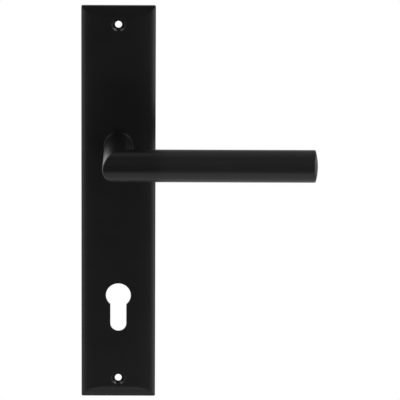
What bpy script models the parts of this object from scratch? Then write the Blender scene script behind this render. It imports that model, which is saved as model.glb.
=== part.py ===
"""Sprung lever handle on a long backplate, with a keyhole for a profile cylinder.

One side of a door's furniture, modelled at full size. The origin is on the spindle's axis, in the
plane of the door's face. +X is the way the lever points, +Y goes into the door and +Z is up.
Pressing the lever turns it about +Y.
"""

import math

import bmesh
import bpy
from mathutils import Matrix, Vector

NAME = "lever_handle_lockset"
GAP = 0.0003                    # left between pieces that touch

# Cover plate
PLATE_WIDTH = 0.052
PLATE_TOP = 0.1012              # above the spindle
PLATE_BOTTOM = -0.1852
PLATE_FRONT = -0.010            # in front of the door's face
PLATE_THICK = 0.004
PLATE_BACK = PLATE_FRONT + PLATE_THICK
PLATE_CORNER = 0.001
FIXING_MARGIN = 0.0135          # from each end of the plate to its screw hole
FIXING_HOLES = (PLATE_TOP - FIXING_MARGIN, PLATE_BOTTOM + FIXING_MARGIN)
FIXING_RADIUS = 0.00245
COUNTERSINK_RADIUS = 0.0046
FIXING_EDGE = 0.0024            # thickness left at each fixing hole, in front of the recess behind it
FIXING_RECESS = 0.0058

# Keyhole for the profile cylinder
CYLINDER_Z = -0.110
CYLINDER_RADIUS = 0.00875
CYLINDER_SLOT = 0.0112
CYLINDER_LOW = -0.1365
CYLINDER_EDGE = 0.0013          # thickness left round the opening, in front of the recess behind it

# Support plate behind the cover, and the screws that join them
INSET = 0.0025
SUPPORT_FRONT = PLATE_BACK + GAP
POCKET_FLOOR = -0.0042
PLATE_SCREWS = [(x, z) for z in (0.051, -0.051, -0.152) for x in (-0.014, 0.014)]

# Lever
LEVER_AXIS = -0.058             # the grip's centre line, from the door's face
LEVER_RADIUS = 0.01135
LEVER_WALL = 0.002
NECK_RADIUS = 0.0100            # where the neck meets its bush
ELBOW_REACH = 0.0107            # from the spindle's axis to the neck's two sides, at the elbow
GRIP_END = 0.1351
LEVER_END = 0.1386
END_DOME = 0.00165              # how far the plug's domed face falls towards its rim
LEVER_TURN = math.radians(45)

# Neck, spindle and bush
BUSH_FRONT = -0.0115
BUSH_RADIUS = 0.0104
BUSH_BORE = 0.0076
SPIGOT_RADIUS = 0.0075
SPIGOT_END = 0.0035
FLATS = 0.006                   # from the axis to each of the spigot's two flats
SPINDLE = 0.008
SPINDLE_FRONT = -0.0425
SPINDLE_BACK = 0.052
GRUB_Y = -0.024
GRUB_RADIUS = 0.0028

# Spring cassette
CUP_RADIUS = 0.0215
CUP_INSIDE = 0.0183
CUP_FLOOR = -0.0049
CUP_BACK = -0.0013
LUG_WIDTH = 0.010
LUG_REACH = 0.0245
LID_THICK = 0.001
LID_SCREW_RING = 0.0199
HUB_RADIUS = 0.0098
STOP_ANGLE = math.radians(70)   # where the hub's stop tab rests, turned from +X towards -Z
TAB_HALF = math.radians(11)
STOP_CLEARANCE = math.radians(0.8)
STOP_WIDTH = math.radians(14)
SPRING_FRONT = -0.0046
SPRING_BACK = -0.0029
SPRING_STRIP = 0.0006
SPRING_TURNS = 3.25
SPRING_INNER = 0.0108
SPRING_OUTER = 0.0176

ALONG_Y = (-math.pi / 2, 0, 0)  # turns an object's own Z to +Y
ALONG_X = (0, math.pi / 2, 0)   # turns an object's own Z to +X


def clear_scene():
    for leftover in list(bpy.data.objects):
        bpy.data.objects.remove(leftover, do_unlink=True)


def make_collection(name):
    collection = bpy.data.collections.new(name)
    bpy.context.scene.collection.children.link(collection)
    return collection


def make_material(name, colour, roughness, metallic):
    material = bpy.data.materials.new(name)
    material.use_nodes = True
    shader = material.node_tree.nodes["Principled BSDF"]
    shader.inputs["Base Color"].default_value = (*colour, 1)
    shader.inputs["Roughness"].default_value = roughness
    shader.inputs["Metallic"].default_value = metallic
    return material


clear_scene()
PARTS = make_collection(NAME)
CUTTERS = make_collection("cutters")


def add_piece(name, shape, material, rotation=(0, 0, 0), parent=None):
    """An object in the parts' collection from a mesh or a bmesh, shaded smooth across shallow angles."""
    mesh = shape
    if isinstance(shape, bmesh.types.BMesh):
        mesh = bpy.data.meshes.new(name)
        bmesh.ops.recalc_face_normals(shape, faces=shape.faces)
        shape.to_mesh(mesh)
        shape.free()
    piece = bpy.data.objects.new(name, mesh)
    piece.rotation_euler = rotation
    piece.parent = parent
    if material:
        mesh.materials.append(material)
        mesh.shade_smooth()
        mesh.set_sharp_from_angle(angle=math.radians(35))
    PARTS.objects.link(piece)
    return piece


def add_cutter(name, shape):
    cutter = add_piece(name, shape, None)
    PARTS.objects.unlink(cutter)
    CUTTERS.objects.link(cutter)
    cutter.hide_render = True
    cutter.display_type = "WIRE"
    return cutter


def combine(piece, other, operation):
    """Cut another object from a piece, or join it on."""
    boolean = piece.modifiers.new(f"{operation.lower()} {other.name}", "BOOLEAN")
    boolean.operation = operation
    boolean.object = other
    boolean.solver = "EXACT"


def box(low, high, into=None):
    shape = into or bmesh.new()
    low, high = Vector(low), Vector(high)
    place = Matrix.Translation((low + high) / 2) @ Matrix.Diagonal((*(high - low), 1))
    bmesh.ops.create_cube(shape, size=1, matrix=place)
    return shape


def rod(start, end, radius, segments=32):
    """A cylinder from one point to another."""
    shape = bmesh.new()
    start, end = Vector(start), Vector(end)
    turn = Vector((0, 0, 1)).rotation_difference(end - start).to_matrix().to_4x4()
    bmesh.ops.create_cone(
        shape,
        cap_ends=True,
        segments=segments,
        radius1=radius,
        radius2=radius,
        depth=(end - start).length,
        matrix=Matrix.Translation((start + end) / 2) @ turn,
    )
    return shape


def rounded_box(low, high, corner, edge=0, segments=4):
    """A box with its four edges along Y rounded, and its front edges broken by the width edge."""
    shape = box(low, high)
    upright = [e for e in shape.edges if abs((e.verts[0].co - e.verts[1].co).y) > 1e-6]
    bmesh.ops.bevel(shape, geom=upright, offset=corner, segments=segments, profile=0.5, affect="EDGES")
    if edge:
        rim = [e for e in shape.edges if all(abs(v.co.y - low[1]) < 1e-6 for v in e.verts)]
        bmesh.ops.bevel(shape, geom=rim, offset=edge, segments=2, profile=0.5, affect="EDGES")
    return shape


def turned_mesh(name, outline, closed):
    """The outline of a turned piece as an edge chain: radius along X, place on the axis along Z."""
    mesh = bpy.data.meshes.new(name)
    edges = [(i, i + 1) for i in range(len(outline) - 1)]
    if closed:
        edges.append((len(outline) - 1, 0))
    mesh.from_pydata([(radius, 0, height) for radius, height in outline], edges, [])
    return mesh


def turned(name, outline, material, closed=True, steps=48, rotation=ALONG_Y, parent=None):
    """A turned piece. Its outline goes down the outer side; a closed outline leaves a bore."""
    piece = add_piece(name, turned_mesh(name, outline, closed), None, rotation, parent)
    piece.data.materials.append(material)
    screw = piece.modifiers.new("turn", "SCREW")
    screw.axis = "Z"
    screw.steps = screw.render_steps = steps
    screw.use_merge_vertices = True
    screw.merge_threshold = 0.00001
    screw.use_smooth_shade = True
    return piece


def on_circle(radius, angle, y):
    """A point round the spindle's axis, turned from +X towards -Z as the lever turns."""
    return Vector((radius * math.cos(angle), y, -radius * math.sin(angle)))


def sector(inner, outer, start, end, front, back, into=None):
    """A piece of a ring round the spindle's axis, between two angles."""
    shape = into or bmesh.new()
    steps = max(2, round((end - start) / math.radians(7.5)))
    angles = [start + (end - start) * i / steps for i in range(steps + 1)]
    chain = [shape.verts.new(on_circle(inner, angle, front)) for angle in angles]
    edges = [shape.edges.new(pair) for pair in zip(chain, chain[1:])]
    wide = bmesh.ops.extrude_edge_only(shape, edges=edges)["geom"]
    for vert in (g for g in wide if isinstance(g, bmesh.types.BMVert)):
        outward = Vector((vert.co.x, 0, vert.co.z)).normalized() * outer
        vert.co = outward + Vector((0, front, 0))
    faces = [g for g in wide if isinstance(g, bmesh.types.BMFace)]
    deep = bmesh.ops.extrude_face_region(shape, geom=faces, use_keep_orig=True)["geom"]
    raised = [g for g in deep if isinstance(g, bmesh.types.BMVert)]
    bmesh.ops.translate(shape, verts=raised, vec=(0, back - front, 0))
    bmesh.ops.recalc_face_normals(shape, faces=shape.faces)
    return shape


def cut_flats(shape, half):
    """Cut a bar along Y down to two flats, this far above and below its axis."""
    for side in (1, -1):
        everything = shape.verts[:] + shape.edges[:] + shape.faces[:]
        cut = bmesh.ops.bisect_plane(
            shape, geom=everything, plane_co=(0, 0, side * half), plane_no=(0, 0, side), clear_outer=True
        )
        rim = [g for g in cut["geom_cut"] if isinstance(g, bmesh.types.BMEdge)]
        bmesh.ops.holes_fill(shape, edges=rim)
    return shape


def swept(place, radius, stations, segments):
    """A capped circle across the Y axis, extruded through stations that each move the last ring's points."""
    shape = bmesh.new()
    facing = Matrix.Translation(place) @ Matrix.Rotation(math.radians(90), 4, "X")
    bmesh.ops.create_circle(shape, cap_ends=True, segments=segments, radius=radius, matrix=facing)
    end = shape.faces[:]
    for number, station in enumerate(stations):
        grown = bmesh.ops.extrude_face_region(shape, geom=end)["geom"]
        if number:
            bmesh.ops.delete(shape, geom=end, context="FACES_ONLY")
        end = [g for g in grown if isinstance(g, bmesh.types.BMFace)]
        for vert in end[0].verts:
            vert.co = station(vert.co)
    return shape


def drill(x, z, *rings, segments=24):
    """A stepped or conical drill along Y. Each ring is its place on Y and its radius."""

    def widened(y, ratio):
        return lambda point: Vector((x + (point.x - x) * ratio, y, z + (point.z - z) * ratio))

    stations = [widened(y, radius / before) for (_, before), (y, radius) in zip(rings, rings[1:])]
    return swept((x, rings[0][0], z), rings[0][1], stations, segments)


def elbow_bar(base_y, base_radius, reach, radius, end_x, segments=48):
    """A bar that comes out along -Y, turns through a mitre and runs along +X."""

    def to_mitre(point):
        across, up = point.x / base_radius, point.z / base_radius
        return Vector((across * reach, LEVER_AXIS + across * radius, up * radius))

    def to_end(point):
        return Vector((end_x, point.y, point.z))

    return swept((0, base_y, 0), base_radius, (to_mitre, to_end), segments)


def screw_recess(name, centre, reach, depth, width):
    """A cross recess in a screw head that faces +Y."""
    x, y, z = centre
    shape = box((x - reach, y - depth, z - width), (x + reach, y + 0.001, z + width))
    cutter = add_cutter(f"{name}_recess_across", shape)
    shape = box((x - width, y - depth, z - reach), (x + width, y + 0.001, z + reach))
    return cutter, add_cutter(f"{name}_recess_down", shape)


def countersunk_screw(name, x, z, head_y, head_radius, head_depth, shank_radius, tip_y, material, steps=16):
    """A countersunk screw along Y with its head towards the door."""
    outline = [
        (0, head_y),
        (head_radius, head_y),
        (head_radius, head_y - 0.00015),
        (shank_radius, head_y - head_depth),
        (shank_radius, tip_y + shank_radius * 0.4),
        (shank_radius * 0.6, tip_y),
        (0, tip_y),
    ]
    piece = turned(name, outline, material, closed=False, steps=steps)
    piece.location = (x, 0, z)
    for cutter in screw_recess(name, (x, head_y, z), head_radius * 0.6, head_depth * 0.6, head_radius * 0.14):
        combine(piece, cutter, "DIFFERENCE")
    return piece


black_coat = make_material("black_coat", (0.012, 0.012, 0.013), 0.55, 0.0)
black_nylon = make_material("black_nylon", (0.018, 0.018, 0.018), 0.5, 0.0)
zinc = make_material("cast_zinc", (0.50, 0.51, 0.53), 0.42, 1.0)
plated_steel = make_material("plated_steel", (0.62, 0.62, 0.60), 0.32, 1.0)
spring_steel = make_material("spring_steel", (0.20, 0.20, 0.22), 0.35, 1.0)
dark_steel = make_material("dark_steel", (0.05, 0.05, 0.055), 0.4, 1.0)

lever_axis = bpy.data.objects.new("lever_axis", None)
PARTS.objects.link(lever_axis)


def keyhole(front, back):
    """Cutters for the round part, the straight part and the round foot of the cylinder's opening."""
    half = CYLINDER_SLOT / 2
    foot = CYLINDER_LOW + half
    barrel = rod((0, front, CYLINDER_Z), (0, back, CYLINDER_Z), CYLINDER_RADIUS, segments=48)
    slot = box((-half, front, foot), (half, back, CYLINDER_Z))
    toe = rod((0, front, foot), (0, back, foot), half, segments=40)
    return [add_cutter("keyhole_barrel", barrel), add_cutter("keyhole_slot", slot), add_cutter("keyhole_toe", toe)]


def keyhole_recess(name, front, back):
    """A cutter for the wider rounded opening behind the keyhole."""
    low, high = (-0.0125, front, CYLINDER_LOW - 0.004), (0.0125, back, CYLINDER_Z + 0.0125)
    return add_cutter(name, rounded_box(low, high, 0.006))


def make_cover_plate():
    half = PLATE_WIDTH / 2
    shape = rounded_box(
        (-half, PLATE_FRONT, PLATE_BOTTOM), (half, PLATE_BACK, PLATE_TOP), PLATE_CORNER, edge=0.0004
    )
    plate = add_piece("cover_plate", shape, black_coat)
    front, back = PLATE_FRONT - 0.002, PLATE_BACK + 0.002
    bush_hole = rod((0, front, 0), (0, back, 0), BUSH_BORE + 0.0019, segments=48)
    cutters = [
        add_cutter("bush_hole", bush_hole),
        *keyhole(front, back),
        keyhole_recess("keyhole_recess", PLATE_FRONT + CYLINDER_EDGE, back),
    ]
    sink = COUNTERSINK_RADIUS - FIXING_RADIUS
    foot, mouth = (PLATE_FRONT + sink, FIXING_RADIUS), (PLATE_FRONT - sink, COUNTERSINK_RADIUS + sink)
    step = PLATE_FRONT + FIXING_EDGE
    for number, z in enumerate(FIXING_HOLES, 1):
        rings = ((back, FIXING_RECESS), (step, FIXING_RECESS), (step, FIXING_RADIUS), foot, mouth)
        cutters.append(add_cutter(f"fixing_hole_{number}", drill(0, z, *rings, segments=32)))
    for number, (x, z) in enumerate(PLATE_SCREWS, 1):
        blind = rod((x, PLATE_BACK - 0.0028, z), (x, back, z), 0.0018, segments=16)
        cutters.append(add_cutter(f"tapped_hole_{number}", blind))
    for cutter in cutters:
        combine(plate, cutter, "DIFFERENCE")


def support_pockets():
    """The hollows between the support plate's ribs, open towards the door."""
    rows = ((0.0275, 0.046), (0.056, 0.079), (-0.046, -0.0275), (-0.074, -0.056), (-0.094, -0.076))
    shape = bmesh.new()
    for side in (1, -1):
        for low, high in rows:
            near, far = sorted((side * 0.0012, side * 0.0213))
            box((near, POCKET_FLOOR, low), (far, 0.001, high), shape)
        for low, high in ((0.0812, 0.0963), (-0.1807, -0.1625)):
            near, far = sorted((side * 0.0078, side * 0.0213))
            box((near, POCKET_FLOOR, low), (far, 0.001, high), shape)
    return shape


def make_support_plate():
    half = PLATE_WIDTH / 2 - INSET
    shape = rounded_box(
        (-half, SUPPORT_FRONT, PLATE_BOTTOM + INSET), (half, 0, PLATE_TOP - INSET), 0.0015
    )
    support = add_piece("support_plate", shape, black_nylon)
    front, back = SUPPORT_FRONT - 0.001, 0.001
    seat = rod((0, front, 0), (0, back, 0), CUP_RADIUS + GAP, segments=48)
    reach = LUG_REACH + GAP
    key_seat = box((-LUG_WIDTH / 2 - GAP, front, -reach), (LUG_WIDTH / 2 + GAP, back, reach))
    cutters = [
        add_cutter("cassette_seat", seat),
        add_cutter("cassette_key_seat", key_seat),
        keyhole_recess("cylinder_opening", front, back),
        add_cutter("rib_pockets", support_pockets()),
    ]
    for number, z in enumerate(FIXING_HOLES, 1):
        hole = rod((0, front, z), (0, back, z), FIXING_RECESS)
        cutters.append(add_cutter(f"support_fixing_hole_{number}", hole))
    for number, (x, z) in enumerate(PLATE_SCREWS, 1):
        hole = drill(x, z, (front, 0.0018), (-0.0020, 0.0018), (0.001, 0.0046), segments=16)
        cutters.append(add_cutter(f"support_screw_hole_{number}", hole))
    for cutter in cutters:
        combine(support, cutter, "DIFFERENCE")
    for number, (x, z) in enumerate(PLATE_SCREWS, 1):
        countersunk_screw(
            f"plate_screw_{number}", x, z, -0.0002, 0.0029, 0.0016, 0.0015, PLATE_BACK - 0.0024, plated_steel
        )


def make_bush():
    outline = [
        (BUSH_BORE, BUSH_FRONT + 0.0056),
        (0.0092, BUSH_FRONT + 0.0056),
        (0.0092, PLATE_FRONT - GAP),
        (BUSH_RADIUS, PLATE_FRONT - GAP),
        (BUSH_RADIUS, BUSH_FRONT + 0.0003),
        (BUSH_RADIUS - 0.0003, BUSH_FRONT),
        (BUSH_BORE, BUSH_FRONT),
    ]
    turned("neck_bush", outline, black_coat)


def make_cassette():
    outline = [
        (CUP_RADIUS, CUP_BACK),
        (CUP_RADIUS, SUPPORT_FRONT),
        (0.0080, SUPPORT_FRONT),
        (0.0080, CUP_FLOOR),
        (CUP_INSIDE, CUP_FLOOR),
        (CUP_INSIDE, CUP_BACK),
    ]
    cup = turned("cassette_body", outline, zinc)
    lugs = box((-LUG_WIDTH / 2, SUPPORT_FRONT, 0.0205), (LUG_WIDTH / 2, CUP_BACK, LUG_REACH))
    box((-LUG_WIDTH / 2, SUPPORT_FRONT, -LUG_REACH), (LUG_WIDTH / 2, CUP_BACK, -0.0205), lugs)
    combine(cup, add_cutter("cassette_key_lugs", lugs), "UNION")
    pads = bmesh.new()
    rest = STOP_ANGLE - TAB_HALF - STOP_CLEARANCE
    pressed = STOP_ANGLE + TAB_HALF + STOP_CLEARANCE + LEVER_TURN
    for start, end in ((rest - STOP_WIDTH, rest), (pressed, pressed + STOP_WIDTH)):
        sector(0.0135, CUP_INSIDE + 0.0008, start, end, SPRING_BACK + 0.0003, CUP_BACK, pads)
    combine(cup, add_cutter("stop_pads", pads), "UNION")
    slot = add_cutter("spring_anchor_slot", anchor_slot())
    combine(cup, slot, "DIFFERENCE")

    outline = [(CUP_RADIUS - 0.0002, 0), (CUP_RADIUS - 0.0002, -LID_THICK), (0.0082, -LID_THICK), (0.0082, 0)]
    lid = turned("cassette_cover", outline, plated_steel)
    for number in range(4):
        angle = math.radians(45 + 90 * number)
        at = on_circle(LID_SCREW_RING, angle, 0)
        bore = rod((at.x, -0.0046, at.z), (at.x, 0.001, at.z), 0.0011, segments=16)
        combine(cup, add_cutter(f"cassette_tapped_hole_{number + 1}", bore), "DIFFERENCE")
        hole = drill(at.x, at.z, (-0.002, 0.0011), (-0.0008, 0.0011), (0.0008, 0.0027), segments=16)
        combine(lid, add_cutter(f"cover_hole_{number + 1}", hole), "DIFFERENCE")
        countersunk_screw(
            f"cassette_screw_{number + 1}", at.x, at.z, -0.0002, 0.0014, 0.0008, 0.0008, -0.0042, plated_steel
        )


def spring_angle(turn):
    return math.radians(200) + turn * 2 * math.pi


def anchor_slot():
    """A slot in the cassette's wall for the return spring's outer end."""
    angle = spring_angle(SPRING_TURNS)
    half = 0.0007
    shape = box((CUP_INSIDE - 0.001, SPRING_FRONT - GAP, -half), (CUP_INSIDE + 0.0015, SPRING_BACK + GAP, half))
    bmesh.ops.rotate(shape, verts=shape.verts, matrix=Matrix.Rotation(angle, 3, "Y"))
    return shape


def make_return_spring():
    """A flat strip wound in a spiral, with its inner end in the hub and its outer end in the cassette."""
    steps = round(SPRING_TURNS * 28)
    points = [on_circle(HUB_RADIUS - 0.0012, spring_angle(0), SPRING_FRONT)]
    for i in range(steps + 1):
        share = i / steps
        radius = SPRING_INNER + (SPRING_OUTER - SPRING_INNER) * share
        points.append(on_circle(radius, spring_angle(SPRING_TURNS * share), SPRING_FRONT))
    points.append(on_circle(CUP_INSIDE + 0.0009, spring_angle(SPRING_TURNS), SPRING_FRONT))
    shape = bmesh.new()
    chain = [shape.verts.new(point) for point in points]
    edges = [shape.edges.new(pair) for pair in zip(chain, chain[1:])]
    wide = bmesh.ops.extrude_edge_only(shape, edges=edges)["geom"]
    raised = [g for g in wide if isinstance(g, bmesh.types.BMVert)]
    bmesh.ops.translate(shape, verts=raised, vec=(0, SPRING_BACK - SPRING_FRONT, 0))
    spring = add_piece("return_spring", shape, spring_steel)
    strip = spring.modifiers.new("strip", "SOLIDIFY")
    strip.thickness = SPRING_STRIP
    strip.offset = 0
    strip.use_even_offset = True


def make_follower():
    """The hub that the neck's spigot drives, with the tab that meets the cassette's stops."""
    outline = [(HUB_RADIUS, -0.0016), (HUB_RADIUS, -0.0046), (0.005, -0.0046), (0.005, -0.0016)]
    hub = turned("follower", outline, zinc, parent=lever_axis)
    tab = sector(
        HUB_RADIUS - 0.0012, 0.0172, STOP_ANGLE - TAB_HALF, STOP_ANGLE + TAB_HALF, SPRING_BACK + 0.0004, -0.0016
    )
    combine(hub, add_cutter("stop_tab", tab), "UNION")
    socket = cut_flats(rod((0, -0.006, 0), (0, 0, 0), SPIGOT_RADIUS + GAP, segments=48), FLATS + 0.0002)
    combine(hub, add_cutter("follower_socket", socket), "DIFFERENCE")
    slot = box((HUB_RADIUS - 0.0016, SPRING_FRONT - GAP, -0.0007), (HUB_RADIUS + 0.001, SPRING_BACK + GAP, 0.0007))
    bmesh.ops.rotate(slot, verts=slot.verts, matrix=Matrix.Rotation(spring_angle(0), 3, "Y"))
    combine(hub, add_cutter("spring_hub_slot", slot), "DIFFERENCE")


def make_lever():
    neck_base = BUSH_FRONT - GAP
    radii = (NECK_RADIUS, ELBOW_REACH, LEVER_RADIUS)
    bar = add_piece("lever_bar", elbow_bar(neck_base, *radii, GRIP_END), black_coat, parent=lever_axis)
    hollow = elbow_bar(neck_base + 0.002, *(radius - LEVER_WALL for radius in radii), GRIP_END + 0.002)
    combine(bar, add_cutter("lever_hollow", hollow), "DIFFERENCE")
    outline = [
        (0, LEVER_END),
        (LEVER_RADIUS * 0.35, LEVER_END - END_DOME * 0.12),
        (LEVER_RADIUS * 0.7, LEVER_END - END_DOME * 0.49),
        (LEVER_RADIUS - 0.0006, LEVER_END - END_DOME * 0.9),
        (LEVER_RADIUS - 0.0002, LEVER_END - END_DOME * 0.9 - 0.0004),
        (LEVER_RADIUS, LEVER_END - END_DOME * 0.9 - 0.0012),
        (LEVER_RADIUS, GRIP_END + 0.0002),
        (LEVER_RADIUS - LEVER_WALL - GAP, GRIP_END + 0.0002),
        (LEVER_RADIUS - LEVER_WALL - GAP, GRIP_END - 0.011),
        (LEVER_RADIUS - LEVER_WALL - 0.0012, GRIP_END - 0.012),
        (0, GRIP_END - 0.012),
    ]
    plug = turned("end_plug", outline, black_coat, closed=False, rotation=ALONG_X, parent=lever_axis)
    plug.location.y = LEVER_AXIS

    core_radius = NECK_RADIUS - LEVER_WALL - GAP
    outline = [
        (0, SPIGOT_END),
        (SPIGOT_RADIUS - 0.0005, SPIGOT_END),
        (SPIGOT_RADIUS, SPIGOT_END - 0.0005),
        (SPIGOT_RADIUS, 0.0025),
        (0.0067, 0.0025),
        (0.0067, 0.0011),
        (SPIGOT_RADIUS, 0.0011),
        (SPIGOT_RADIUS, neck_base),
        (core_radius, neck_base),
        (core_radius, SPINDLE_FRONT - 0.002),
        (core_radius - 0.001, SPINDLE_FRONT - 0.003),
        (0, SPINDLE_FRONT - 0.003),
    ]
    core = turned("neck_core", outline, zinc, closed=False, parent=lever_axis)
    half = SPINDLE / 2 + 0.0002
    socket = box((-half, SPINDLE_FRONT - GAP, -half), (half, SPIGOT_END + 0.001, half))
    combine(core, add_cutter("spindle_socket", socket), "DIFFERENCE")
    for number, side in enumerate((1, -1), 1):
        low, high = sorted((side * FLATS, side * 0.009))
        flat = box((-0.01, -0.0056, low), (0.01, SPIGOT_END + 0.001, high))
        combine(core, add_cutter(f"spigot_flat_{number}", flat), "DIFFERENCE")
    for piece, top in ((bar, -0.007), (core, -0.003)):
        hole = rod((0, GRUB_Y, top), (0, GRUB_Y, -0.013), GRUB_RADIUS + GAP, segments=24)
        combine(piece, add_cutter(f"{piece.name}_grub_hole", hole), "DIFFERENCE")


def make_grub_screw():
    """The socket screw under the neck that clamps the spindle."""
    low, high = -0.0096, -SPINDLE / 2 - GAP
    outline = [
        (0, high),
        (GRUB_RADIUS - 0.0008, high),
        (GRUB_RADIUS, high - 0.0008),
        (GRUB_RADIUS, low + 0.0003),
        (GRUB_RADIUS - 0.0003, low),
        (0, low),
    ]
    screw = turned("grub_screw", outline, dark_steel, closed=False, steps=24, rotation=(0, 0, 0), parent=lever_axis)
    screw.location.y = GRUB_Y
    socket = rod((0, GRUB_Y, low - 0.001), (0, GRUB_Y, low + 0.0028), 0.0017, segments=6)
    combine(screw, add_cutter("grub_screw_socket", socket), "DIFFERENCE")


def make_spindle():
    half = SPINDLE / 2
    shape = box((-half, SPINDLE_FRONT, -half), (half, SPINDLE_BACK, half))
    bmesh.ops.bevel(shape, geom=shape.edges[:], offset=0.0005, segments=1, profile=0.5, affect="EDGES")
    add_piece("spindle", shape, plated_steel, parent=lever_axis)


def make_wave_washer():
    """A washer with three waves that takes up the play behind the cassette."""
    shape = sector(0.0078, 0.0101, 0, 2 * math.pi, 0.0005, 0.0009)
    bmesh.ops.remove_doubles(shape, verts=shape.verts, dist=0.000001)
    inside = [f for f in shape.faces if all(abs(v.co.z) < 1e-7 and v.co.x > 0 for v in f.verts)]
    bmesh.ops.delete(shape, geom=inside, context="FACES_ONLY")
    for vert in shape.verts:
        vert.co.y += 0.00018 * math.sin(3 * math.atan2(vert.co.z, vert.co.x))
    add_piece("wave_washer", shape, spring_steel, parent=lever_axis)


def make_circlip():
    """The retaining ring in the spigot's groove, with an eye at each end."""
    front, back = 0.0013, 0.0022
    gap_half = math.radians(22)
    middle = math.radians(90)
    shape = sector(0.0070, 0.0089, middle + gap_half, middle + 2 * math.pi - gap_half, front, back)
    ring = add_piece("circlip", shape, spring_steel, parent=lever_axis)
    for number, side in enumerate((1, -1), 1):
        eye = on_circle(0.0088, middle + side * gap_half, 0)
        lug = rod((eye.x, front, eye.z), (eye.x, back, eye.z), 0.0017, segments=20)
        combine(ring, add_cutter(f"circlip_eye_{number}", lug), "UNION")
    for number, side in enumerate((1, -1), 1):
        eye = on_circle(0.0090, middle + side * gap_half, 0)
        hole = rod((eye.x, front - 0.001, eye.z), (eye.x, back + 0.001, eye.z), 0.0007, segments=12)
        combine(ring, add_cutter(f"circlip_eye_hole_{number}", hole), "DIFFERENCE")


make_cover_plate()
make_support_plate()
make_bush()
make_cassette()
make_return_spring()
make_follower()
make_lever()
make_grub_screw()
make_spindle()
make_wave_washer()
make_circlip()
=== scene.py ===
"""Fine surfaces, finishes, light and camera for a sprung lever handle on a long backplate."""

import math

import bmesh
import bpy
from mathutils import Matrix, Quaternion, Vector


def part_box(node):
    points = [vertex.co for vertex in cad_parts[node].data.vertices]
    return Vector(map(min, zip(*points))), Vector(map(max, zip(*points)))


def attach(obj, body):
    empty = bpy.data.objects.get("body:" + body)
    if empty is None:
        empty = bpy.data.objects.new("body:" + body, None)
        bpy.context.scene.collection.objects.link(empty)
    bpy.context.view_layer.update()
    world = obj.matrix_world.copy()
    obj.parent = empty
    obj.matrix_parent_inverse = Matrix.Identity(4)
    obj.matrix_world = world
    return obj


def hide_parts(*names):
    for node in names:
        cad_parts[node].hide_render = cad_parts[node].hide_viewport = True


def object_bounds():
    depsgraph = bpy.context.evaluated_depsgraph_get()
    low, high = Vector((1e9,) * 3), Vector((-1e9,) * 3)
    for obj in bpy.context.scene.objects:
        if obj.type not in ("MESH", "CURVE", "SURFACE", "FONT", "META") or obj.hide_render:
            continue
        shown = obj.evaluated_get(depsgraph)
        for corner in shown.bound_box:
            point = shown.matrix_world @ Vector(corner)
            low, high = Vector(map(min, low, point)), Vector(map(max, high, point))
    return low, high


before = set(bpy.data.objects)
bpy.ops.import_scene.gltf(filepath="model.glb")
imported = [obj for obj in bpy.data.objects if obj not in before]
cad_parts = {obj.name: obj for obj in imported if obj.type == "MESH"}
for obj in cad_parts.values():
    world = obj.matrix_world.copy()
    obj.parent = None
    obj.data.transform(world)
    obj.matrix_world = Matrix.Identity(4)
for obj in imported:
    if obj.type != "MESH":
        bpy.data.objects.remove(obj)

CAD_LOW, CAD_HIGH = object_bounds()

# The cover plate
PLATE_LOW, PLATE_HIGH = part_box("cover_plate")
CORNER = 0.001                   # radius of the plate's four corners
EDGE_RADIUS = 0.0003             # the tight edge round its face
SHOULDER = 0.005                 # width of the soft fall next to that edge
SHOULDER_DROP = 0.00085          # how far the face falls over it
SHOULDER_CURVE = 2.5             # the power it falls by: higher is flatter at first, steeper at the edge
CROWN = 0.0100                   # width over which the face is very slightly crowned
CROWN_DROP = 0.00042             # how far the face falls over that
CROWN_AT_ENDS = 0.3              # share of that width at the plate's top and bottom
FLAT_MIDDLE = 0.0004             # a flat ring inside the crown, where its shading starts
PROFILE_STEPS = 10               # in the crown and in the shoulder
EDGE_STEPS = 6
BACK_BREAK = 0.0002              # the broken edge at the back
HOLE_BREAK = 0.00015             # the broken edge round each hole
FLAT_RIM = 0.0003                # a flat rim outside it, which keeps the face's shading flat
KNEE = 0.3                       # how far a quarter round's middle comes in, as a share of its size

# The cylinder's keyhole, and the recesses behind the holes
KEY_Z = -0.110                   # middle of the keyhole's round head
KEY_RADIUS = 0.00875
KEY_HALF_SLOT = 0.0056
KEY_LOW = -0.1365                # foot of its slot
KEY_EDGE = 0.0013                # the plate's thickness round it
KEY_RECESS = 0.0125              # the recess's reach to each side of the head and above it
KEY_RECESS_BELOW = 0.004         # its reach below the slot
KEY_RECESS_CORNER = 0.006
FIXING_MARGIN = 0.0135           # from the plate's top and bottom to the fixing holes
FIXING_RADIUS = 0.00245
FIXING_EDGE = 0.0024             # the plate's thickness round them
FIXING_RECESS = 0.0058           # radius of the recess behind
SINK_RADIUS = 0.0046             # the countersink's mouth
SINK_FOOT = 0.0001               # the soft corner where it meets the hole
BUSH_HOLE = 0.0095
TAPPED_RADIUS = 0.0018
TAPPED_DEPTH = 0.0028

# The lever, its plug and the bush round its neck
BAR_LOW, BAR_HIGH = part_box("lever_bar")
CAP_LOW, CAP_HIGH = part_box("end_plug")
BUSH_LOW, BUSH_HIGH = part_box("neck_bush")
BUSH_BORE = 0.0076
BUSH_SLEEVE = 0.0092             # radius of the part inside the plate
BUSH_SEAT = -0.0103              # back of the ring in front of the plate
BUSH_ROUND = 0.0003              # the ring's soft outer edge
BUSH_BREAK = 0.0002              # the bore's broken edge
GRIP_RADIUS = BAR_HIGH.z
GRIP_Y = BAR_LOW.y + GRIP_RADIUS
NECK_RADIUS = 0.0100
ELBOW_REACH = -BAR_LOW.x         # from the spindle's axis to the neck's two sides, at the elbow
WALL = 0.002                     # thickness of the tube
TUBE_BREAK = 0.0002              # the broken edge at the neck's end and round the grub screw's hole
ELBOW_MARGIN = 0.001             # past the elbow, the tube's edges stay crisp
CREASE = 0.0007                  # half the width of the softened mitre
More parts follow.
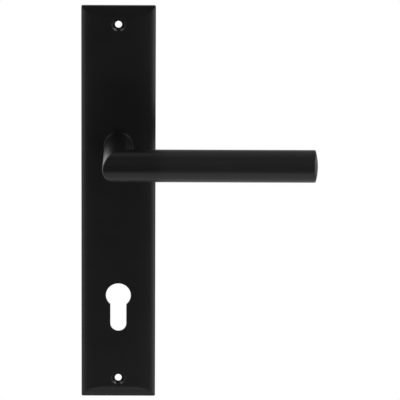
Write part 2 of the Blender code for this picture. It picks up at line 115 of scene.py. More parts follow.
CAP_EDGE = 0.0006                # how far the plug's soft edge comes in, and how long it is
CAP_EDGE_LENGTH = 0.0012
CAP_DOME = 0.00165               # how far its domed face falls towards that edge
HAIRLINE = 0.00003               # the joint between the grip and its plug
PLUG_SLACK = 0.0003              # between the plug's shank and the tube
PLUG_TAPER = 0.0009              # how far the shank's lead comes in, and how long it is
PLUG_TAPER_LENGTH = 0.001
EDGE_RINGS = 8                   # in the plug's soft edge
DOME_RINGS = 12
GRUB_Y = -0.024
GRUB_HOLE = 0.0031
GRUB_PATCH = 1.3                 # half the patch opened for that hole, in radii of the hole
GRUB_STEPS = 48
ROUND_STEPS = 128                # round the lever, its plug and the bush

WELD = 1e-7                      # points closer than this are one point
SHARP_TURN = math.radians(40)    # edges that turn by more than this stay crisp


def mesh_piece(name, shape, finish, body, node):
    """Makes a piece from a bmesh, standing for a CAD node and riding on its body."""
    bmesh.ops.remove_doubles(shape, verts=shape.verts, dist=WELD)
    bmesh.ops.recalc_face_normals(shape, faces=shape.faces)
    mesh = bpy.data.meshes.new(name)
    shape.to_mesh(mesh)
    shape.free()
    mesh.materials.append(finish)
    mesh.shade_smooth()
    mesh.set_sharp_from_angle(angle=SHARP_TURN)
    piece = bpy.data.objects.new(name, mesh)
    bpy.context.scene.collection.objects.link(piece)
    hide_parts(node)
    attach(piece, body)


# --- Finishes ---------------------------------------------------------------------------------


class Value:
    """A socket of a finish's nodes, so that its pattern is written as plain sums."""

    def __init__(self, socket):
        self.socket = socket

    def node(self, kind, sockets, output=0, **settings):
        """Adds a node beside this socket. Its settings come first, then its sockets."""
        tree = self.socket.id_data
        node = tree.nodes.new(kind)
        for name, setting in settings.items():
            setattr(node, name, setting)
        for name, value in sockets.items():
            if isinstance(value, Value):
                tree.links.new(value.socket, node.inputs[name])
            else:
                node.inputs[name].default_value = value
        return Value(node.outputs[output])

    def maths(self, operation, *terms):
        """A sum of this kind over the given values."""
        return self.node("ShaderNodeMath", dict(enumerate(terms)), operation=operation)

    def __add__(self, other):
        return self.maths("ADD", self, other)

    def __sub__(self, other):
        return self.maths("SUBTRACT", self, other)

    def __rsub__(self, other):
        return self.maths("SUBTRACT", other, self)

    def __mul__(self, other):
        return self.maths("MULTIPLY", self, other)

    __radd__ = __add__
    __rmul__ = __mul__

    def between(self, low, high):
        """0 below low, 1 above high, and smooth between them."""
        sockets = {"Value": self, "From Min": low, "From Max": high}
        return self.node("ShaderNodeMapRange", sockets, interpolation_type="SMOOTHSTEP")

    def noise(self, size, detail=2.0, roughness=0.5):
        """Noise over this place, with lumps of about this size in metres."""
        sockets = {"Vector": self, "Scale": 1 / size, "Detail": detail, "Roughness": roughness}
        return self.node("ShaderNodeTexNoise", sockets)

    def stretched(self, x, y, z):
        """This place scaled along each axis, for a pattern that runs along one of them."""
        return self.node("ShaderNodeVectorMath", {0: self, 1: (x, y, z)}, operation="MULTIPLY")

    def across(self):
        """How far this place is along X."""
        return self.node("ShaderNodeSeparateXYZ", {"Vector": self})

    def tint(self, dark, light):
        """A colour between two, by this value."""
        sockets = {0: self, 6: (*dark, 1), 7: (*light, 1)}
        return self.node("ShaderNodeMix", sockets, output=2, data_type="RGBA")


def new_finish(name, metallic):
    """A material with its shader and the place on the piece, both ready for a pattern."""
    material = bpy.data.materials.new(name)
    material.use_nodes = True
    shader = material.node_tree.nodes["Principled BSDF"]
    shader.inputs["Metallic"].default_value = metallic
    place = Value(material.node_tree.nodes.new("ShaderNodeTexCoord").outputs["Object"])
    return material, shader, place


def apply_pattern(shader, colour, roughness, height, depth):
    """Joins a finish's colour, roughness and surface relief to its shader."""
    links = shader.id_data.links
    links.new(colour.socket, shader.inputs["Base Color"])
    links.new(roughness.socket, shader.inputs["Roughness"])
    bump = height.node("ShaderNodeBump", {"Height": height, "Distance": depth, "Strength": 1.0})
    links.new(bump.socket, shader.inputs["Normal"])


# Each finish's darkest and palest colour, its least roughness, and the depth of its relief in metres
COAT_TINTS = (0.0016, 0.0016, 0.0018), (0.0085, 0.0085, 0.0088)
COAT_ROUGHNESS = 0.26
COAT_RELIEF = 0.000012
NYLON_TINTS = (0.011, 0.011, 0.011), (0.024, 0.024, 0.023)
NYLON_ROUGHNESS = 0.44
NYLON_RELIEF = 0.00003
CAST_TINTS = (0.30, 0.31, 0.33), (0.60, 0.61, 0.62)
CAST_ROUGHNESS = 0.34
CAST_RELIEF = 0.00002
CAST_SWIRLS = 260.0              # swirls to the metre
CAST_DISTORTION = 1.5
PLATING_TINTS = (0.50, 0.50, 0.49), (0.74, 0.73, 0.66)
PLATING_ROUGHNESS = 0.22
PLATING_RELIEF = 0.000008
BLUED_TINTS = (0.055, 0.065, 0.110), (0.240, 0.190, 0.140)
BLUED_ROUGHNESS = 0.26
BLUED_RELIEF = 0.000006
OXIDE_TINTS = (0.030, 0.030, 0.034), (0.160, 0.155, 0.150)
OXIDE_ROUGHNESS = 0.42
OXIDE_RELIEF = 0.000006

GRIP_GLARE = 0.8                    # how far the painted glare pales the grip, standing in for the lens's flare
GRIP_GLARE_FROM = 0.020             # where along X that starts, and where it is full
GRIP_GLARE_FULL = 0.040


def powder_coat(name, painted_glare=0.0):
    """Matt black powder coat with the faint orange peel it melts into. A painted glare can pale the grip,
    standing in for the lens's flare.
    """
    material, shader, place = new_finish(name, 0.0)
    peel = place.noise(0.0011, detail=1)
    grain = place.noise(0.00022, detail=2)
    patches = place.noise(0.03, detail=3)
    # Painted glare: the colour pales along X towards the grip's end, standing in for the lens's flare
    wear_and_painted_glare = place.across().between(GRIP_GLARE_FROM, GRIP_GLARE_FULL) * painted_glare
    colour = (grain * 0.3 + patches * 0.2 + wear_and_painted_glare).tint(*COAT_TINTS)
    roughness = COAT_ROUGHNESS + grain * 0.05 + patches * 0.04
    apply_pattern(shader, colour, roughness, peel * 0.8 + grain * 0.2, COAT_RELIEF)
    return material


def moulded_nylon():
    """Black nylon out of a mould: a fine spark-eroded grain and faint flow marks."""
    material, shader, place = new_finish("moulded_black_nylon", 0.0)
    grain = place.noise(0.0004, detail=3)
    flow = place.stretched(1, 1, 0.25).noise(0.012)
    colour = (grain * 0.4 + flow * 0.6).tint(*NYLON_TINTS)
    roughness = NYLON_ROUGHNESS + grain * 0.16 + flow * 0.08
    apply_pattern(shader, colour, roughness, grain, NYLON_RELIEF)
    return material


def cast_zinc():
    """Zinc as it leaves the die: cloudy grey, with cold-flow swirls and a slightly pitted skin."""
    material, shader, place = new_finish("die_cast_zinc", 1.0)
    clouds = place.noise(0.006, detail=4, roughness=0.6)
    sockets = {"Vector": place, "Scale": CAST_SWIRLS, "Detail": 2.0, "Distortion": CAST_DISTORTION}
    swirl = place.node("ShaderNodeTexNoise", sockets)
    pits = place.noise(0.0005).between(0.62, 0.72)
    colour = (clouds * 0.6 + swirl * 0.4).tint(*CAST_TINTS)
    roughness = CAST_ROUGHNESS + clouds * 0.18 + pits * 0.2
    apply_pattern(shader, colour, roughness, swirl * 0.5 - pits, CAST_RELIEF)
    return material


def zinc_plate(name, along):
    """Bright zinc plate with fine draw lines along one way, and a faint yellow cast."""
    material, shader, place = new_finish(name, 1.0)
    lines = place.stretched(*along).noise(0.0004, detail=3, roughness=0.65)
    cast = place.noise(0.008)
    stain = place.noise(0.0022, detail=4).between(0.55, 0.8)
    colour = (cast * 0.7 + lines * 0.3).tint(*PLATING_TINTS)
    roughness = PLATING_ROUGHNESS + lines * 0.16 + stain * 0.14
    apply_pattern(shader, colour, roughness, lines, PLATING_RELIEF)
    return material


def blued_spring():
    """Spring steel blued in the furnace: dark blue that turns to straw in places."""
    material, shader, place = new_finish("blued_spring_steel", 1.0)
    heat = place.noise(0.005)
    rolling = place.stretched(1, 8, 1).noise(0.0006)
    colour = (heat * 0.8 + rolling * 0.2).tint(*BLUED_TINTS)
    roughness = BLUED_ROUGHNESS + rolling * 0.14
    apply_pattern(shader, colour, roughness, rolling, BLUED_RELIEF)
    return material


def black_oxide():
    """Blacked and oiled steel, with paler steel worn through in fine spots."""
    material, shader, place = new_finish("black_oxide_steel", 1.0)
    grain = place.noise(0.0003, detail=3)
    wear_and_painted_glare = place.noise(0.0009, detail=3).between(0.6, 0.75)
    colour = (grain * 0.3 + wear_and_painted_glare * 0.7).tint(*OXIDE_TINTS)
    roughness = OXIDE_ROUGHNESS - wear_and_painted_glare * 0.12 + grain * 0.08
    apply_pattern(shader, colour, roughness, grain, OXIDE_RELIEF)
    return material


PLATE_COAT = powder_coat("matt_black_powder_coat")
# The lever's coat carries the painted glare on its grip
LEVER_COAT_WITH_PAINTED_GLARE = powder_coat("black_powder_coat_with_painted_glare", painted_glare=GRIP_GLARE)
NYLON = moulded_nylon()
CAST_ZINC = cast_zinc()
PLATED_SHEET = zinc_plate("zinc_plated_sheet", (0.08, 1, 1))
PLATED_SCREW = zinc_plate("zinc_plated_screw", (1, 1, 1))
PLATED_BAR = zinc_plate("zinc_plated_drawn_bar", (1, 0.03, 1))
BLUED_SPRING = blued_spring()
BLACK_OXIDE = black_oxide()


# --- Cover plate ------------------------------------------------------------------------------


def arc(shape, centre, y, radius, start, turn, steps):
    """A run of edges round a centre, facing along Y. Angles go from +X to +Z."""
    x, z = centre
    at = Vector((x + radius * math.cos(start), y, z + radius * math.sin(start)))
    vert = shape.verts.new(at)
    bmesh.ops.spin(
        shape, geom=[vert], cent=(x, y, z), axis=(0, -1, 0), dvec=(0, 0, 0), angle=turn, steps=steps
    )


def closed_loop(shape, draw):
    """Draws arcs, joins each one's end to the next one's start, and gives all the edges."""
    before = set(shape.edges)
    old = set(shape.verts)
    draw()
    made = [v for v in shape.verts if v not in old]
    ends = [v for v in made if len(v.link_edges) == 1]
    for first, second in zip(ends[1::2], ends[2::2] + ends[:1]):
        if (first.co - second.co).length > WELD / 10:
            shape.edges.new((first, second))
    return [e for e in shape.edges if e not in before]


def edges_of(verts):
    """The edges at some points, each once and always in the same order."""
    return list(dict.fromkeys(e for v in verts for e in v.link_edges))


def circle(shape, radius, steps, place):
    """A ring of edges round the given place's Z axis. Gives its points and its edges."""
    made = bmesh.ops.create_circle(shape, cap_ends=False, segments=steps, radius=radius, matrix=place)
    return made["verts"], edges_of(made["verts"])


def circle_loop(shape, x, y, z, radius, steps=64):
    """A ring of edges facing along Y."""
    place = Matrix.Translation((x, y, z)) @ Matrix.Rotation(math.pi / 2, 4, "X")
    return circle(shape, radius, steps, place)[1]


def keyhole_loop(shape, y, grow):
    """The keyhole's outline: a round head and a straight slot with a round foot."""
    head, half = KEY_RADIUS + grow, KEY_HALF_SLOT + grow
    toe = KEY_LOW + KEY_HALF_SLOT
    mouth = math.asin(half / head)

    def draw():
        arc(shape, (0, KEY_Z), y, head, mouth - math.pi / 2, 2 * math.pi - 2 * mouth, steps=72)
        arc(shape, (0, toe), y, half, math.pi, math.pi, steps=40)

    return closed_loop(shape, draw)


def box_loop(shape, low, high, y, corner, steps=8):
    """A rectangle with round corners."""
    (x1, z1), (x2, z2) = low, high

    def draw():
        quarter = math.pi / 2
        corners = ((x2 - corner, z2 - corner), (x1 + corner, z2 - corner),
                   (x1 + corner, z1 + corner), (x2 - corner, z1 + corner))
        for number, centre in enumerate(corners):
            arc(shape, centre, y, corner, number * quarter, quarter, steps)

    return closed_loop(shape, draw)


def bridge(shape, *loops):
    """Walls between each loop and the next."""
    for first, second in zip(loops, loops[1:]):
        bmesh.ops.bridge_loops(shape, edges=first + second)


def ring_stack(shape, x, z, outline, steps=64):
    """Circles round a line along Y, each (y, radius), with walls between. Gives the two end ones."""
    loops = [circle_loop(shape, x, y, z, radius, steps) for y, radius in outline]
    bridge(shape, *loops)
    return loops[0], loops[-1]


def screw_places(prefix, count):
    """The middle, across and up, of each of a set of screws along Y."""
    boxes = [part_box(f"{prefix}_{number}") for number in range(1, count + 1)]
    return [((low.x + high.x) / 2, (low.z + high.z) / 2) for low, high in boxes]


def pierced_face(shape, loops, facing):
    """A flat face inside the first loop, with the other loops left open."""
    edges = [e for loop in loops for e in loop]
    bmesh.ops.triangle_fill(shape, use_beauty=True, edges=edges, normal=(0, facing, 0))


def plate_profile():
    """From the face's flat middle out to its side: how far in from the edge, and how far back."""
    shares = [i / PROFILE_STEPS for i in range(1, PROFILE_STEPS + 1)]
    points = [(CROWN + SHOULDER + FLAT_MIDDLE, 0.0), (CROWN + SHOULDER, 0.0)]
    for t in shares:
        points.append((SHOULDER + CROWN * (1 - t), CROWN_DROP * t * t))
    slope = 2 * CROWN_DROP / CROWN * SHOULDER
    bend = SHOULDER_DROP - slope
    for t in shares:
        inset = EDGE_RADIUS + (SHOULDER - EDGE_RADIUS) * (1 - t)
        points.append((inset, CROWN_DROP + slope * t + bend * t**SHOULDER_CURVE))
    drop = CROWN_DROP + SHOULDER_DROP
    for i in range(1, EDGE_STEPS + 1):
        angle = math.pi / 2 * i / EDGE_STEPS
        points.append((EDGE_RADIUS * (1 - math.sin(angle)), drop + EDGE_RADIUS * (1 - math.cos(angle))))
    return points


def plate_loop(shape, inset, end_inset, y):
    """The plate's outline, drawn in by the given amounts from its sides and from its two ends."""
    low = (PLATE_LOW.x + inset, PLATE_LOW.z + end_inset)
    high = (PLATE_HIGH.x - inset, PLATE_HIGH.z - end_inset)
    return box_loop(shape, low, high, y, CORNER)


def cut_keyhole(shape, front, back):
    """The keyhole and the recess behind it. Gives the mouth and the recess's rim."""
    loops = [
        keyhole_loop(shape, front, HOLE_BREAK + FLAT_RIM),
        keyhole_loop(shape, front, HOLE_BREAK),
        keyhole_loop(shape, front + HOLE_BREAK * KNEE, HOLE_BREAK * KNEE),
        keyhole_loop(shape, front + HOLE_BREAK, 0),
        keyhole_loop(shape, front + KEY_EDGE, 0),
    ]
    bridge(shape, *loops)
    low, high = (-KEY_RECESS, KEY_LOW - KEY_RECESS_BELOW), (KEY_RECESS, KEY_Z + KEY_RECESS)
    step, rim = (box_loop(shape, low, high, y, KEY_RECESS_CORNER) for y in (front + KEY_EDGE, back))
    pierced_face(shape, [step, loops[-1]], 1)
    bridge(shape, step, rim)
    return loops[0], rim


def cut_fixing_hole(shape, z, front, back):
    """A countersunk hole and the recess behind it. Gives the mouth and the recess's rim."""
    sink = SINK_RADIUS - FIXING_RADIUS
    outline = [
        (front, SINK_RADIUS + HOLE_BREAK + FLAT_RIM),
        (front, SINK_RADIUS + HOLE_BREAK),
        (front + HOLE_BREAK * KNEE, SINK_RADIUS + HOLE_BREAK * KNEE),
        (front + HOLE_BREAK, SINK_RADIUS - HOLE_BREAK / 2),
        (front + sink, FIXING_RADIUS + SINK_FOOT / 2),
        (front + sink + SINK_FOOT, FIXING_RADIUS),
        (front + FIXING_EDGE, FIXING_RADIUS),
    ]
    mouth, foot = ring_stack(shape, 0, z, outline)
    outline = [(front + FIXING_EDGE, FIXING_RECESS), (back, FIXING_RECESS)]
    step, rim = ring_stack(shape, 0, z, outline)
    pierced_face(shape, [step, foot], 1)
    return mouth, rim


def cut_tapped_hole(shape, x, z, back):
    """A blind hole from behind. Gives its rim."""
    outline = [(back - TAPPED_DEPTH, TAPPED_RADIUS), (back, TAPPED_RADIUS)]
    bottom, rim = ring_stack(shape, x, z, outline, steps=24)
    bmesh.ops.edgeloop_fill(shape, edges=bottom)
    return rim


def make_cover_plate():
    """The long plate: a slightly crowned face, soft shoulders, and holes with recesses behind."""
    shape = bmesh.new()
    front, back = PLATE_LOW.y, PLATE_HIGH.y
    rings = []
    for inset, drop in plate_profile():
        end_inset = inset if inset < SHOULDER else SHOULDER + (inset - SHOULDER) * CROWN_AT_ENDS
        rings.append(plate_loop(shape, inset, end_inset, front + drop))
    rings.append(plate_loop(shape, 0, 0, back - BACK_BREAK))
    rings.append(plate_loop(shape, BACK_BREAK, BACK_BREAK, back))
    bridge(shape, *rings)

    holes = [cut_keyhole(shape, front, back)]
    for z in (PLATE_HIGH.z - FIXING_MARGIN, PLATE_LOW.z + FIXING_MARGIN):
        holes.append(cut_fixing_hole(shape, z, front, back))
    tapped = [cut_tapped_hole(shape, x, z, back) for x, z in screw_places("plate_screw", 6)]
    bush_hole = ring_stack(shape, 0, 0, [(front, BUSH_HOLE), (back, BUSH_HOLE)], steps=96)

    mouths, rims = zip(*holes)
    pierced_face(shape, [rings[0], *mouths, bush_hole[0]], -1)
    pierced_face(shape, [rings[-1], *rims, *tapped, bush_hole[1]], 1)
    mesh_piece("long_cover_plate", shape, PLATE_COAT, "backplate", "cover_plate")


def turned(shape, outline, axis, centre=(0, 0, 0)):
    """Spins an outline of (place on the axis, radius) points into a turned shape."""
    axis = Vector(axis)
    out = Vector((0, 0, 1))
    verts = [shape.verts.new(Vector(centre) + axis * place + out * radius) for place, radius in outline]
    edges = [shape.edges.new(pair) for pair in zip(verts, verts[1:])]
    bmesh.ops.spin(
        shape, geom=verts + edges, cent=centre, axis=axis, dvec=(0, 0, 0),
        angle=2 * math.pi, steps=ROUND_STEPS, use_merge=True,
    )
    bmesh.ops.remove_doubles(shape, verts=shape.verts, dist=WELD)


def rounding(place, radius, size, steps=5):
    """A quarter round from a face at the given place, out to the given radius."""
    points = []
    for i in range(steps + 1):
        angle = math.pi / 2 * i / steps
        points.append((place + size * (1 - math.cos(angle)), radius - size * (1 - math.sin(angle))))
    return points


def make_bush():
    """The ring round the foot of the neck, with its sleeve inside the plate."""
    front, back = BUSH_LOW.y, BUSH_HIGH.y
    rim = BUSH_HIGH.z
    shape = bmesh.new()
    outline = [(back, BUSH_BORE), (back, BUSH_SLEEVE), (BUSH_SEAT, BUSH_SLEEVE), (BUSH_SEAT, rim)]
    outline += reversed(rounding(front, rim, BUSH_ROUND))
    outline += [(front, BUSH_BORE + BUSH_BREAK), (front + BUSH_BREAK, BUSH_BORE), (back, BUSH_BORE)]
    turned(shape, outline, axis=(0, 1, 0))
    mesh_piece("neck_ring", shape, PLATE_COAT, "backplate", "neck_bush")


def soften(shape, width, least, segments=3, before=math.inf):
    """Rounds the edges that turn by more than the least angle in degrees, up to a place along X."""
    shape.normal_update()
    sharp = [
        e for e in shape.edges
        if len(e.link_faces) == 2 and e.calc_face_angle() > math.radians(least)
        and all(v.co.x < before for v in e.verts)
    ]
    bmesh.ops.bevel(
        shape, geom=sharp, offset=width, offset_type="OFFSET", segments=segments,
        profile=0.5, affect="EDGES", material=-1, clamp_overlap=True,
    )


def extend(shape, edges, station):
    """Extrudes a ring of edges, moves the new ring's points, and gives its edges."""
    made = bmesh.ops.extrude_edge_only(shape, edges=edges)["geom"]
    verts = [g for g in made if isinstance(g, bmesh.types.BMVert)]
    for vert in verts:
        vert.co = station(vert.co)
    return [e for e in edges_of(verts) if all(v in verts for v in e.verts)]


def cut_grub_hole(shape):
    """Opens the grub screw's hole in the underside of the neck, before the tube has its wall."""
    half = GRUB_HOLE * GRUB_PATCH
    for share in (-1, -0.5, 0, 0.5, 1):
        everything = shape.verts[:] + shape.edges[:] + shape.faces[:]
        cut = (0, GRUB_Y + half * share, 0)
        bmesh.ops.bisect_plane(shape, geom=everything, plane_co=cut, plane_no=(0, 1, 0))
    patch = []
    for face in shape.faces:
        middle = face.calc_center_median()
        if middle.z < 0 and abs(middle.x) < half and abs(middle.y - GRUB_Y) < half:
            patch.append(face)
    rim = [e for e in shape.edges if sum(f in patch for f in e.link_faces) == 1]
    bmesh.ops.delete(shape, geom=patch, context="FACES")
    verts, hole = circle(shape, GRUB_HOLE, GRUB_STEPS, Matrix.Translation((0, GRUB_Y, 0)))
    for vert in verts:
        share = (BAR_HIGH.y - vert.co.y) / (BAR_HIGH.y - GRIP_Y)
        radius = NECK_RADIUS + (GRIP_RADIUS - NECK_RADIUS) * share
        vert.co.z = -math.sqrt(radius**2 - vert.co.x**2)
    bmesh.ops.bridge_loops(shape, edges=rim + hole)


def make_lever_tube():
    """The bar: a neck that widens a little, a mitred elbow with a softened crease, and the grip."""
    shape = bmesh.new()
    foot = circle_loop(shape, 0, BAR_HIGH.y, 0, NECK_RADIUS, ROUND_STEPS)

    def to_mitre(point):
        across, up = point.x / NECK_RADIUS, point.z / NECK_RADIUS
        return Vector((across * ELBOW_REACH, GRIP_Y + across * GRIP_RADIUS, up * GRIP_RADIUS))

    mitre = extend(shape, foot, to_mitre)
    extend(shape, mitre, lambda point: Vector((BAR_HIGH.x, point.y, point.z)))
    bmesh.ops.recalc_face_normals(shape, faces=shape.faces)
    bmesh.ops.bevel(
        shape, geom=mitre, offset=CREASE, offset_type="OFFSET", segments=6,
        profile=0.5, affect="EDGES", material=-1,
    )
    cut_grub_hole(shape)
    bmesh.ops.recalc_face_normals(shape, faces=shape.faces)
    bmesh.ops.solidify(shape, geom=shape.faces[:], thickness=WALL)
    bmesh.ops.recalc_face_normals(shape, faces=shape.faces)
    soften(shape, TUBE_BREAK, least=50, before=GRIP_RADIUS + ELBOW_MARGIN)
    mesh_piece("lever_tube", shape, LEVER_COAT_WITH_PAINTED_GLARE, "lever", "lever_bar")


def make_grip_cap():
    """The plug in the grip's end, with a faintly domed face and a soft edge."""
    shape = bmesh.new()
    tip, start = CAP_HIGH.x, BAR_HIGH.x + HAIRLINE
    shank = GRIP_RADIUS - WALL - PLUG_SLACK
    outline = [(CAP_LOW.x, 0), (CAP_LOW.x, shank - PLUG_TAPER), (CAP_LOW.x + PLUG_TAPER_LENGTH, shank)]
    outline += [(start, shank), (start, GRIP_RADIUS - HAIRLINE), (start + HAIRLINE, GRIP_RADIUS)]
    slope = 2 * CAP_DOME / GRIP_RADIUS
    turn = math.atan2(CAP_EDGE_LENGTH, CAP_EDGE * slope)
    rim = GRIP_RADIUS - CAP_EDGE * (1 - math.cos(turn))
    rim_along = tip - CAP_DOME * (rim / GRIP_RADIUS) ** 2
    for i in range(EDGE_RINGS + 1):
        angle = turn * i / EDGE_RINGS
        along = rim_along - CAP_EDGE_LENGTH * (math.sin(turn) - math.sin(angle))
        outline.append((along, GRIP_RADIUS - CAP_EDGE * (1 - math.cos(angle))))
    for i in range(1, DOME_RINGS + 1):
        radius = rim * (1 - i / DOME_RINGS)
        outline.append((tip - CAP_DOME * (radius / GRIP_RADIUS) ** 2, radius))
    turned(shape, outline, axis=(1, 0, 0), centre=(0, GRIP_Y, 0))
    mesh_piece("grip_cap", shape, LEVER_COAT_WITH_PAINTED_GLARE, "lever", "end_plug")


# --- Hidden side: lid, screws, spindle and the rest --------------------------------------------


SPINDLE_CORNER = 0.0005
COPY_WELD = 1e-6                 # in finer copies of CAD pieces, points closer than this are one point
FLAT_TURN = math.radians(0.4)    # and faces that turn by less than this are one face

# Countersunk screws, as shares of the radius of the head or shank, of the countersink's depth or the pitch
HEAD_BREAK = 0.03                # of the head
HEAD_RIM = 0.00015               # the straight part of the head's side, in metres
RECESS_DEPTH = 0.6               # of the countersink
RECESS_MOUTH = 0.60, 0.14        # of the head: the cross's reach and half the width of its arms
RECESS_FOOT = 0.32, 0.09
PITCH = 0.55                     # of the shank
FLANK = 0.35                     # of the pitch
ROOT = 0.84                      # of the shank
RUN_OUT = 0.4                    # of the shank: the plain end below the thread
POINT = 0.55                     # of the shank


def cross_loop(shape, x, y, z, reach, half):
    """The outline of a cross recess, facing along Y."""
    verts = []
    for quarter in range(4):
        turn = Matrix.Rotation(quarter * math.pi / 2, 3, "Y")
        for across, up in ((reach, half), (reach, -half), (half, -half)):
            verts.append(shape.verts.new(Vector((x, y, z)) + turn @ Vector((across, 0, up))))
    return [shape.edges.new(pair) for pair in zip(verts, verts[1:] + verts[:1])]


def make_countersunk_screws(prefix, count, head, sink, shank):
    """Countersunk screws with a tapering cross recess and a rolled thread."""
    for number, (x, z) in enumerate(screw_places(prefix, count), 1):
        node = f"{prefix}_{number}"
        low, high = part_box(node)
        top, tip = high.y, low.y
        edge, pitch = head * HEAD_BREAK, shank * PITCH
        flank, root = pitch * FLANK, shank * ROOT
        outline = [(top, head - edge), (top - edge * KNEE, head - edge * KNEE), (top - edge, head)]
        outline += [(top - HEAD_RIM, head), (top - sink, shank)]
        for turn in range(int((top - sink - tip - shank * RUN_OUT) / pitch)):
            crest = top - sink - pitch * (turn + 0.5)
            outline += [(crest + flank, root), (crest, shank), (crest - flank, root)]
        outline.append((tip, shank * POINT))
        shape = bmesh.new()
        rim, end = ring_stack(shape, x, z, outline, steps=40)
        mouth = cross_loop(shape, x, top, z, *(head * share for share in RECESS_MOUTH))
        bottom = top - sink * RECESS_DEPTH
        foot = cross_loop(shape, x, bottom, z, *(head * share for share in RECESS_FOOT))
        pierced_face(shape, [rim, mouth], 1)
        bridge(shape, mouth, foot)
        bmesh.ops.edgeloop_fill(shape, edges=foot)
        bmesh.ops.edgeloop_fill(shape, edges=end)
        mesh_piece(f"{node}_turned", shape, PLATED_SCREW, "backplate", node)


def make_spindle_bar():
    """The drawn square bar, with rolled corners and softened ends."""
    low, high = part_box("spindle")
    shape = bmesh.new()
    place = Matrix.Translation((low + high) / 2) @ Matrix.Diagonal((*(high - low), 1))
    bmesh.ops.create_cube(shape, size=1, matrix=place)
    soften(shape, SPINDLE_CORNER, least=30, segments=4)
    mesh_piece("square_spindle", shape, PLATED_BAR, "lever", "spindle")


def make_finer_copy(node, body, finish, edge):
    """A CAD node's own shape with its sharp edges softened and its finish on."""
    shape = bmesh.new()
    shape.from_mesh(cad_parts[node].data)
    bmesh.ops.remove_doubles(shape, verts=shape.verts, dist=COPY_WELD)
    bmesh.ops.dissolve_limit(
        shape, angle_limit=FLAT_TURN, verts=shape.verts[:], edges=shape.edges[:],
        use_dissolve_boundaries=False,
    )
    soften(shape, edge, least=35, segments=2)
    mesh_piece(f"{node}_finished", shape, finish, body, node)


def make_hidden_pieces():
    """Everything behind the plate and inside the neck."""
    make_countersunk_screws("plate_screw", 6, head=0.0029, sink=0.0016, shank=0.0015)
    make_countersunk_screws("cassette_screw", 4, head=0.0014, sink=0.0008, shank=0.0008)
    make_spindle_bar()
    make_finer_copy("support_plate", "backplate", NYLON, 0.00025)
    make_finer_copy("cassette_body", "backplate", CAST_ZINC, 0.0002)
    make_finer_copy("cassette_cover", "backplate", PLATED_SHEET, 0.00012)
    make_finer_copy("follower", "lever", CAST_ZINC, 0.00015)
    make_finer_copy("neck_core", "lever", CAST_ZINC, 0.0002)
    make_finer_copy("wave_washer", "lever", BLUED_SPRING, 0.00006)
    make_finer_copy("circlip", "lever", BLUED_SPRING, 0.0001)
    make_finer_copy("grub_screw", "lever", BLACK_OXIDE, 0.0001)
    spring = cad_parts["return_spring"].data
    spring.materials.clear()
    spring.materials.append(BLUED_SPRING)


make_cover_plate()
make_bush()
make_lever_tube()
make_grip_cap()
make_hidden_pieces()


# --- Floor, light and camera ------------------------------------------------------------------

FLOOR_DROP = 0.6                 # below the handle
FLOOR_RADIUS = 1.3
FLOOR_COLOUR = 0.2
FLOOR_ROUGHNESS = 0.9
FLOOR_PALE = 0.5                 # glow that only the camera sees
FLOOR_LIGHT = 0.40               # glow that everything gets

# The light's strength from each way, and where along that way it comes up or fades.
# Ways run from -1 to 1: left to right, front to back, and down to up.
LEFT_BOX = 2.4
RIGHT_BOX = 4.0
LOW_LIGHT = 0.12                 # from in front, below the handle
HIGH_LIGHT = 0.07                # from in front, above it
WALL_LIGHT = 0.60                # from behind
WALL_TOP_LIGHT = 0.30
LEFT_WALL_LIGHT = 1.4
FRONT_TO_BACK = -0.25, 0.25
BOX_RISES = 0.3, 0.7
BOX_FALLS = 0.7, 0.95
LOW_FALLS = -0.7, -0.3
HIGH_RISES = 0.3, 0.6
WALL_RISES = -0.5, -0.1
WALL_FALLS = 0.1, 0.5
LEFT_WALL_RISES = 0.2, 0.6

CAMERA_ABOVE = math.radians(17.18)
CAMERA_ROLL = math.radians(0.275)
CAMERA_DISTANCE = 4.5124
CAMERA_X = 0.0353
CAMERA_LENS = 578.7              # in millimetres, as is the film's width
FILM_WIDTH = 36
NEAREST, FARTHEST = 0.1, 50      # what the camera can see, in metres
AIM_X = 0.05725                  # the point on the plate's face that it looks at
AIM_Z = -0.041
AIM_RISE = 0.00147               # how far up the picture it is tilted from there


def make_floor():
    """A plain pale floor below the handle."""
    shape = bmesh.new()
    place = Matrix.Translation((0, 0, CAD_LOW.z - FLOOR_DROP))
    bmesh.ops.create_circle(shape, cap_ends=True, segments=96, radius=FLOOR_RADIUS, matrix=place)
    mesh = bpy.data.meshes.new("floor")
    shape.to_mesh(mesh)
    shape.free()
    material, shader, place = new_finish("pale_floor", 0.0)
    shader.inputs["Base Color"].default_value = (FLOOR_COLOUR, FLOOR_COLOUR, FLOOR_COLOUR, 1)
    shader.inputs["Roughness"].default_value = FLOOR_ROUGHNESS
    seen = place.node("ShaderNodeLightPath", {})
    glow = seen * FLOOR_PALE + FLOOR_LIGHT
    shader.inputs["Emission Color"].default_value = (1, 1, 1, 1)
    material.node_tree.links.new(glow.socket, shader.inputs["Emission Strength"])
    mesh.materials.append(material)
    floor = bpy.data.objects.new("floor", mesh)
    bpy.context.scene.collection.objects.link(floor)


def soft_box(way):
    """A tall soft box to one side of the front."""
    return way.between(*BOX_RISES) * (1 - way.between(*BOX_FALLS))


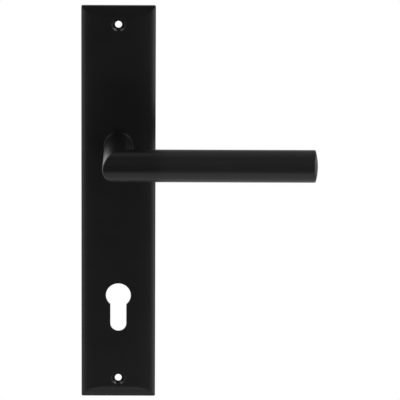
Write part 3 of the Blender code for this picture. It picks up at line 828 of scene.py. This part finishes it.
def make_world():
    """A white room: a soft box to each side in front, a bright wall behind, and little else in front."""
    world = bpy.data.worlds.new("studio")
    world.use_nodes = True
    bpy.context.scene.world = world
    nodes, links = world.node_tree.nodes, world.node_tree.links
    nodes.clear()
    way = Value(nodes.new("ShaderNodeTexCoord").outputs["Generated"])
    parts = way.node("ShaderNodeSeparateXYZ", {"Vector": way})
    right, depth, height = (Value(parts.socket.node.outputs[i]) for i in range(3))
    left = 0 - right
    behind = depth.between(*FRONT_TO_BACK)
    front = soft_box(left) * LEFT_BOX + soft_box(right) * RIGHT_BOX
    front += (1 - height.between(*LOW_FALLS)) * LOW_LIGHT
    front += height.between(*HIGH_RISES) * HIGH_LIGHT
    wall = WALL_LIGHT - height.between(*WALL_FALLS) * (WALL_LIGHT - WALL_TOP_LIGHT)
    wall = height.between(*WALL_RISES) * wall + left.between(*LEFT_WALL_RISES) * LEFT_WALL_LIGHT
    strength = (1 - behind) * front + behind * wall
    background = strength.node("ShaderNodeBackground", {"Color": (1, 1, 1, 1), "Strength": strength})
    white = strength.node("ShaderNodeBackground", {"Color": (1, 1, 1, 1), "Strength": 1.0})
    seen = Value(nodes.new("ShaderNodeLightPath").outputs["Is Camera Ray"])
    mixed = seen.node("ShaderNodeMixShader", {0: seen, 1: background, 2: white})
    links.new(mixed.socket, nodes.new("ShaderNodeOutputWorld").inputs["Surface"])


def make_camera():
    """A long lens, a little above the handle and nearly square on to the plate."""
    rise = Vector((0, math.sin(CAMERA_ABOVE), math.cos(CAMERA_ABOVE)))
    back = Vector((0, -math.cos(CAMERA_ABOVE), math.sin(CAMERA_ABOVE)))
    camera = bpy.data.cameras.new("camera")
    camera.lens = CAMERA_LENS
    camera.sensor_width = FILM_WIDTH
    camera.clip_start, camera.clip_end = NEAREST, FARTHEST
    seat = bpy.data.objects.new("camera", camera)
    bpy.context.scene.collection.objects.link(seat)
    seat.location = Vector((CAMERA_X, PLATE_LOW.y, AIM_Z)) + back * CAMERA_DISTANCE
    sight = Vector((AIM_X, PLATE_LOW.y, AIM_Z)) + rise * AIM_RISE - seat.location
    seat.rotation_mode = "QUATERNION"
    seat.rotation_quaternion = sight.to_track_quat("-Z", "Y") @ Quaternion((0, 0, 1), CAMERA_ROLL)
    bpy.context.scene.camera = seat


make_floor()
make_world()
make_camera()
bpy.context.scene.view_settings.view_transform = "Standard"
